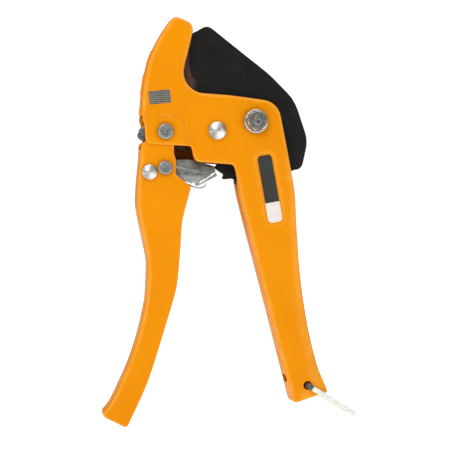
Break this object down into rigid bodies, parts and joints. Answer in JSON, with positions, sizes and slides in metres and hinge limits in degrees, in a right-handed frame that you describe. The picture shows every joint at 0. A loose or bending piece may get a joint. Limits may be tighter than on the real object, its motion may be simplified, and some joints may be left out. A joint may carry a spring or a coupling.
{
  "type": "pipe cutter",
  "caption": "Hand-held ratchet cutter for plastic pipe, with a hooked jaw, a swinging curved blade, a moving handle with a drive pawl, and a swinging locking bail.",
  "frame": {"origin": "middle of the tool's box, at its lowest point, with the handles hanging down", "axes": "+Z from the handle ends up to the jaw, front face towards -Y, blade side towards +X"},
  "size_m": [0.1407, 0.0306, 0.2244],
  "materials": {
    "painted_steel": "satin powder coat",
    "painted_shade": "satin powder coat",
    "weld": "painted weld bead",
    "label_dark": "printed film",
    "label_pale": "printed film",
    "sticker": "printed film",
    "bolt_zinc": "worn zinc",
    "rivet_flat": "worn zinc",
    "rivet_domed": "polished zinc",
    "sleeve_steel": "turned",
    "spring_steel": "drawn wire",
    "blade_coat": "speckled satin coating",
    "bronze": "turned",
    "pawl_zinc": "zinc plated sheet",
    "bail_steel": "bright strip"
  },
  "bodies": {
    "body": {"front_shell": "painted_steel", "rear_shell": "painted_steel", "seam_weld_low": "weld", "seam_weld_middle": "weld", "seam_weld_top": "weld", "label_dark": "label_dark", "label_pale": "label_pale", "small_sticker": "sticker", "blade_pivot_bolt": "bolt_zinc", "blade_pivot_nut": "bolt_zinc", "blade_sleeve_front": "sleeve_steel", "blade_sleeve_rear": "sleeve_steel", "handle_pivot_pin": "rivet_flat", "handle_sleeve_front": "sleeve_steel", "handle_sleeve_rear": "sleeve_steel", "stop_rivet_pin": "rivet_domed", "stop_sleeve": "sleeve_steel", "handle_return_spring": "spring_steel", "lever_spring": "spring_steel"},
    "blade": {"cutting_blade": "blade_coat", "blade_bush": "bronze"},
    "handle": {"moving_handle": "painted_steel", "pawl_guard": "painted_shade", "pawl_pivot_pin": "rivet_flat", "pawl_spacer_front": "sleeve_steel", "pawl_spacer_rear": "sleeve_steel", "spring_anchor_rivet": "rivet_domed", "anchor_sleeve": "sleeve_steel", "pawl_spring": "spring_steel"},
    "pawl": {"drive_pawl": "pawl_zinc"},
    "lever": {"release_lever": "pawl_zinc"},
    "bail": {"locking_bail": "bail_steel"}
  },
  "joints": [
    {"name": "handle_pivot", "type": "hinge", "parent": "body", "child": "handle", "pos_m": [-0.0368, 0.0013, 0.1613], "axis": [0, -1, 0], "range_deg": [0, 31], "stiffness_Nm_per_rad": 0.6, "springref_deg": -20.05, "deforming": ["handle_return_spring"]},
    {"name": "blade_pivot", "type": "hinge", "parent": "body", "child": "blade", "pos_m": [0.0136, 0.0013, 0.1674], "axis": [0, 1, 0], "range_deg": [0, 82]},
    {"name": "pawl_pivot", "type": "hinge", "parent": "handle", "child": "pawl", "pos_m": [-0.0367, 0.0013, 0.1415], "axis": [0, -1, 0], "range_deg": [-48, 0], "deforming": ["pawl_spring"]},
    {"name": "lever_pivot", "type": "hinge", "parent": "body", "child": "lever", "pos_m": [-0.0368, 0.0013, 0.1613], "axis": [0, 1, 0], "range_deg": [0, 8], "stiffness_Nm_per_rad": 0.05, "springref_deg": -17.19, "deforming": ["lever_spring"]},
    {"name": "bail_pivot", "type": "hinge", "parent": "body", "child": "bail", "pos_m": [0.0428, 0.0013, 0.0213], "axis": [0, -1, 0], "range_deg": [-142, 100]}
  ],
  "couplings": [
    {"joint": "pawl_pivot", "follows": "handle_pivot", "ratio": -1.53}
  ]
}
